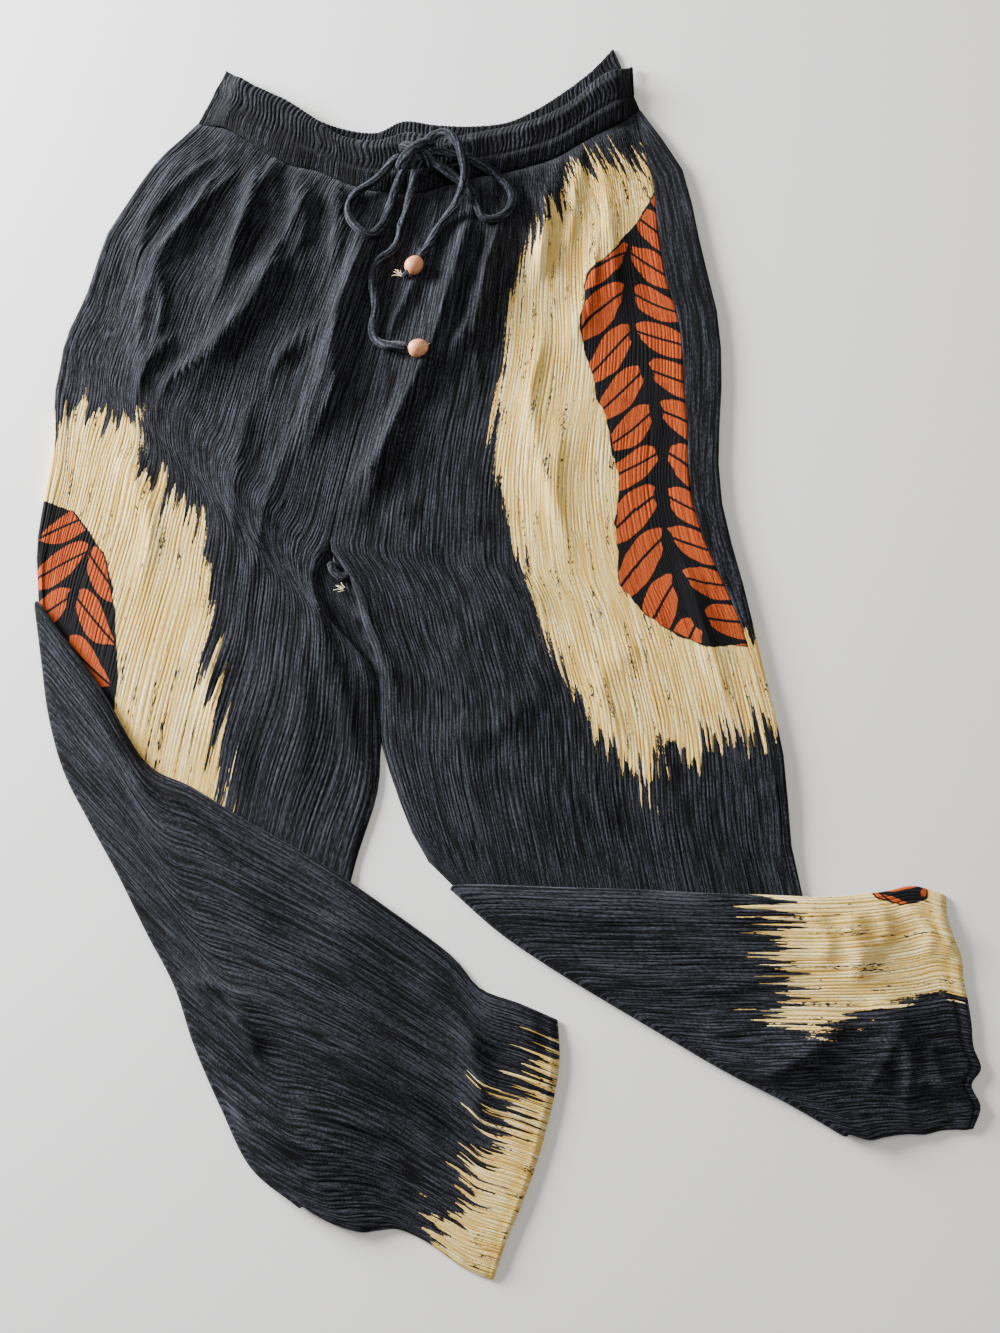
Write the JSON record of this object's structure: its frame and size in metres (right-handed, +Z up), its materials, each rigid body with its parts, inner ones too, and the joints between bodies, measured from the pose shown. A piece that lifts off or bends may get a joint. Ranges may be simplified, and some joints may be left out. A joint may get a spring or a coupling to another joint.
{
  "type": "harem jogger pants",
  "caption": "Loose crinkled-crepe harem jogger pants laid flat, gathered drawstring waist tied in a bow with wooden beads, both lower legs folded over their thighs.",
  "frame": {"origin": "on the surface that the pants lie on, under the middle of their outline", "axes": "+Z up off the surface, +Y towards the waist, -Y towards the hems, -X towards the wearer's right leg; the front lies up"},
  "size_m": [0.7318, 1.031, 0.0325],
  "materials": {
    "crinkled_crepe": "crinkled matte",
    "gathered_crepe": "gathered matte",
    "crepe_cord": "matte",
    "wooden_bead": "satin"
  },
  "bodies": {
    "root": {"front_leg_right": "crinkled_crepe", "front_leg_left": "crinkled_crepe", "back_leg_right": "crinkled_crepe", "back_leg_left": "crinkled_crepe", "waistband_front": "gathered_crepe", "waistband_back": "gathered_crepe", "drawstring_knot": "crepe_cord", "drawstring_loop_right": "crepe_cord", "drawstring_loop_left": "crepe_cord", "drawstring_tail_right": "crepe_cord", "drawstring_tail_left": "crepe_cord", "bead_right": "wooden_bead", "bead_left": "wooden_bead"}
  },
  "joints": []
}
